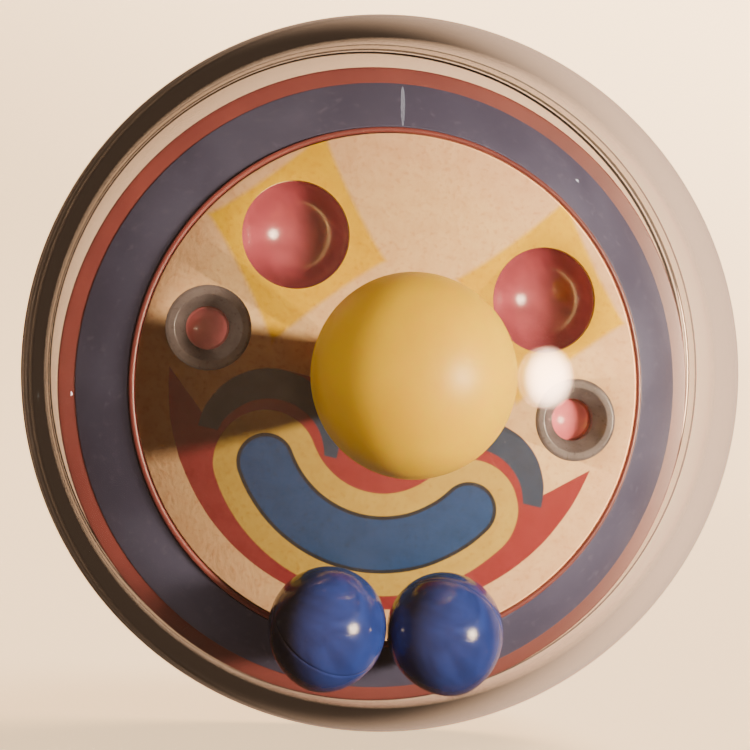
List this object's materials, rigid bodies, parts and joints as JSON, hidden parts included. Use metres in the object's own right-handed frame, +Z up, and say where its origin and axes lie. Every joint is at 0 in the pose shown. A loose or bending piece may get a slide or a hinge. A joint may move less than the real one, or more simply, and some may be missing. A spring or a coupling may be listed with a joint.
{
  "type": "juggling ball",
  "caption": "Clear hollow juggling ball of half shells, with a raised round clown-face insert, socket eyes, a big ball nose and loose balls that run round the face.",
  "frame": {"origin": "centre of the ball", "axes": "-Y out of the front of the face, +Z up against gravity, +X to the right as seen from the front; the face is rolled 10 degrees clockwise as seen from the front, and the loose balls lie at the bottom"},
  "size_m": [0.065, 0.065, 0.065],
  "materials": {
    "clear_plastic": "clear polished styrene",
    "red_plastic": "moulded, satin",
    "track_band": "blue-violet, satin",
    "printed_card": "printed and varnished card",
    "red_gloss": "polished",
    "grey_plastic": "moulded",
    "yellow_plastic": "satin",
    "blue_plastic": "polished",
    "plated_steel": "zinc plated"
  },
  "bodies": {
    "ball_body": {"front_shell": "clear_plastic", "rear_shell": "clear_plastic", "tray": "red_plastic", "track_ring": "track_band", "face_card": "printed_card", "left_eye_cup": "red_gloss", "right_eye_cup": "red_gloss", "left_cheek_eyelet": "grey_plastic", "right_cheek_eyelet": "grey_plastic", "left_cheek_button": "red_gloss", "right_cheek_button": "red_gloss", "nose_ball": "yellow_plastic", "nose_screw": "plated_steel"},
    "left_loose_ball": {"left_ball": "blue_plastic"},
    "right_loose_ball": {"right_ball": "blue_plastic"}
  },
  "joints": [
    {"name": "left_ball_run", "type": "hinge", "parent": "ball_body", "child": "left_loose_ball", "pos_m": [0, 0, 0], "axis": [0, 1, 0], "range_deg": [0, 150]},
    {"name": "right_ball_run", "type": "hinge", "parent": "ball_body", "child": "right_loose_ball", "pos_m": [0, 0, 0], "axis": [0, -1, 0], "range_deg": [0, 150]}
  ]
}
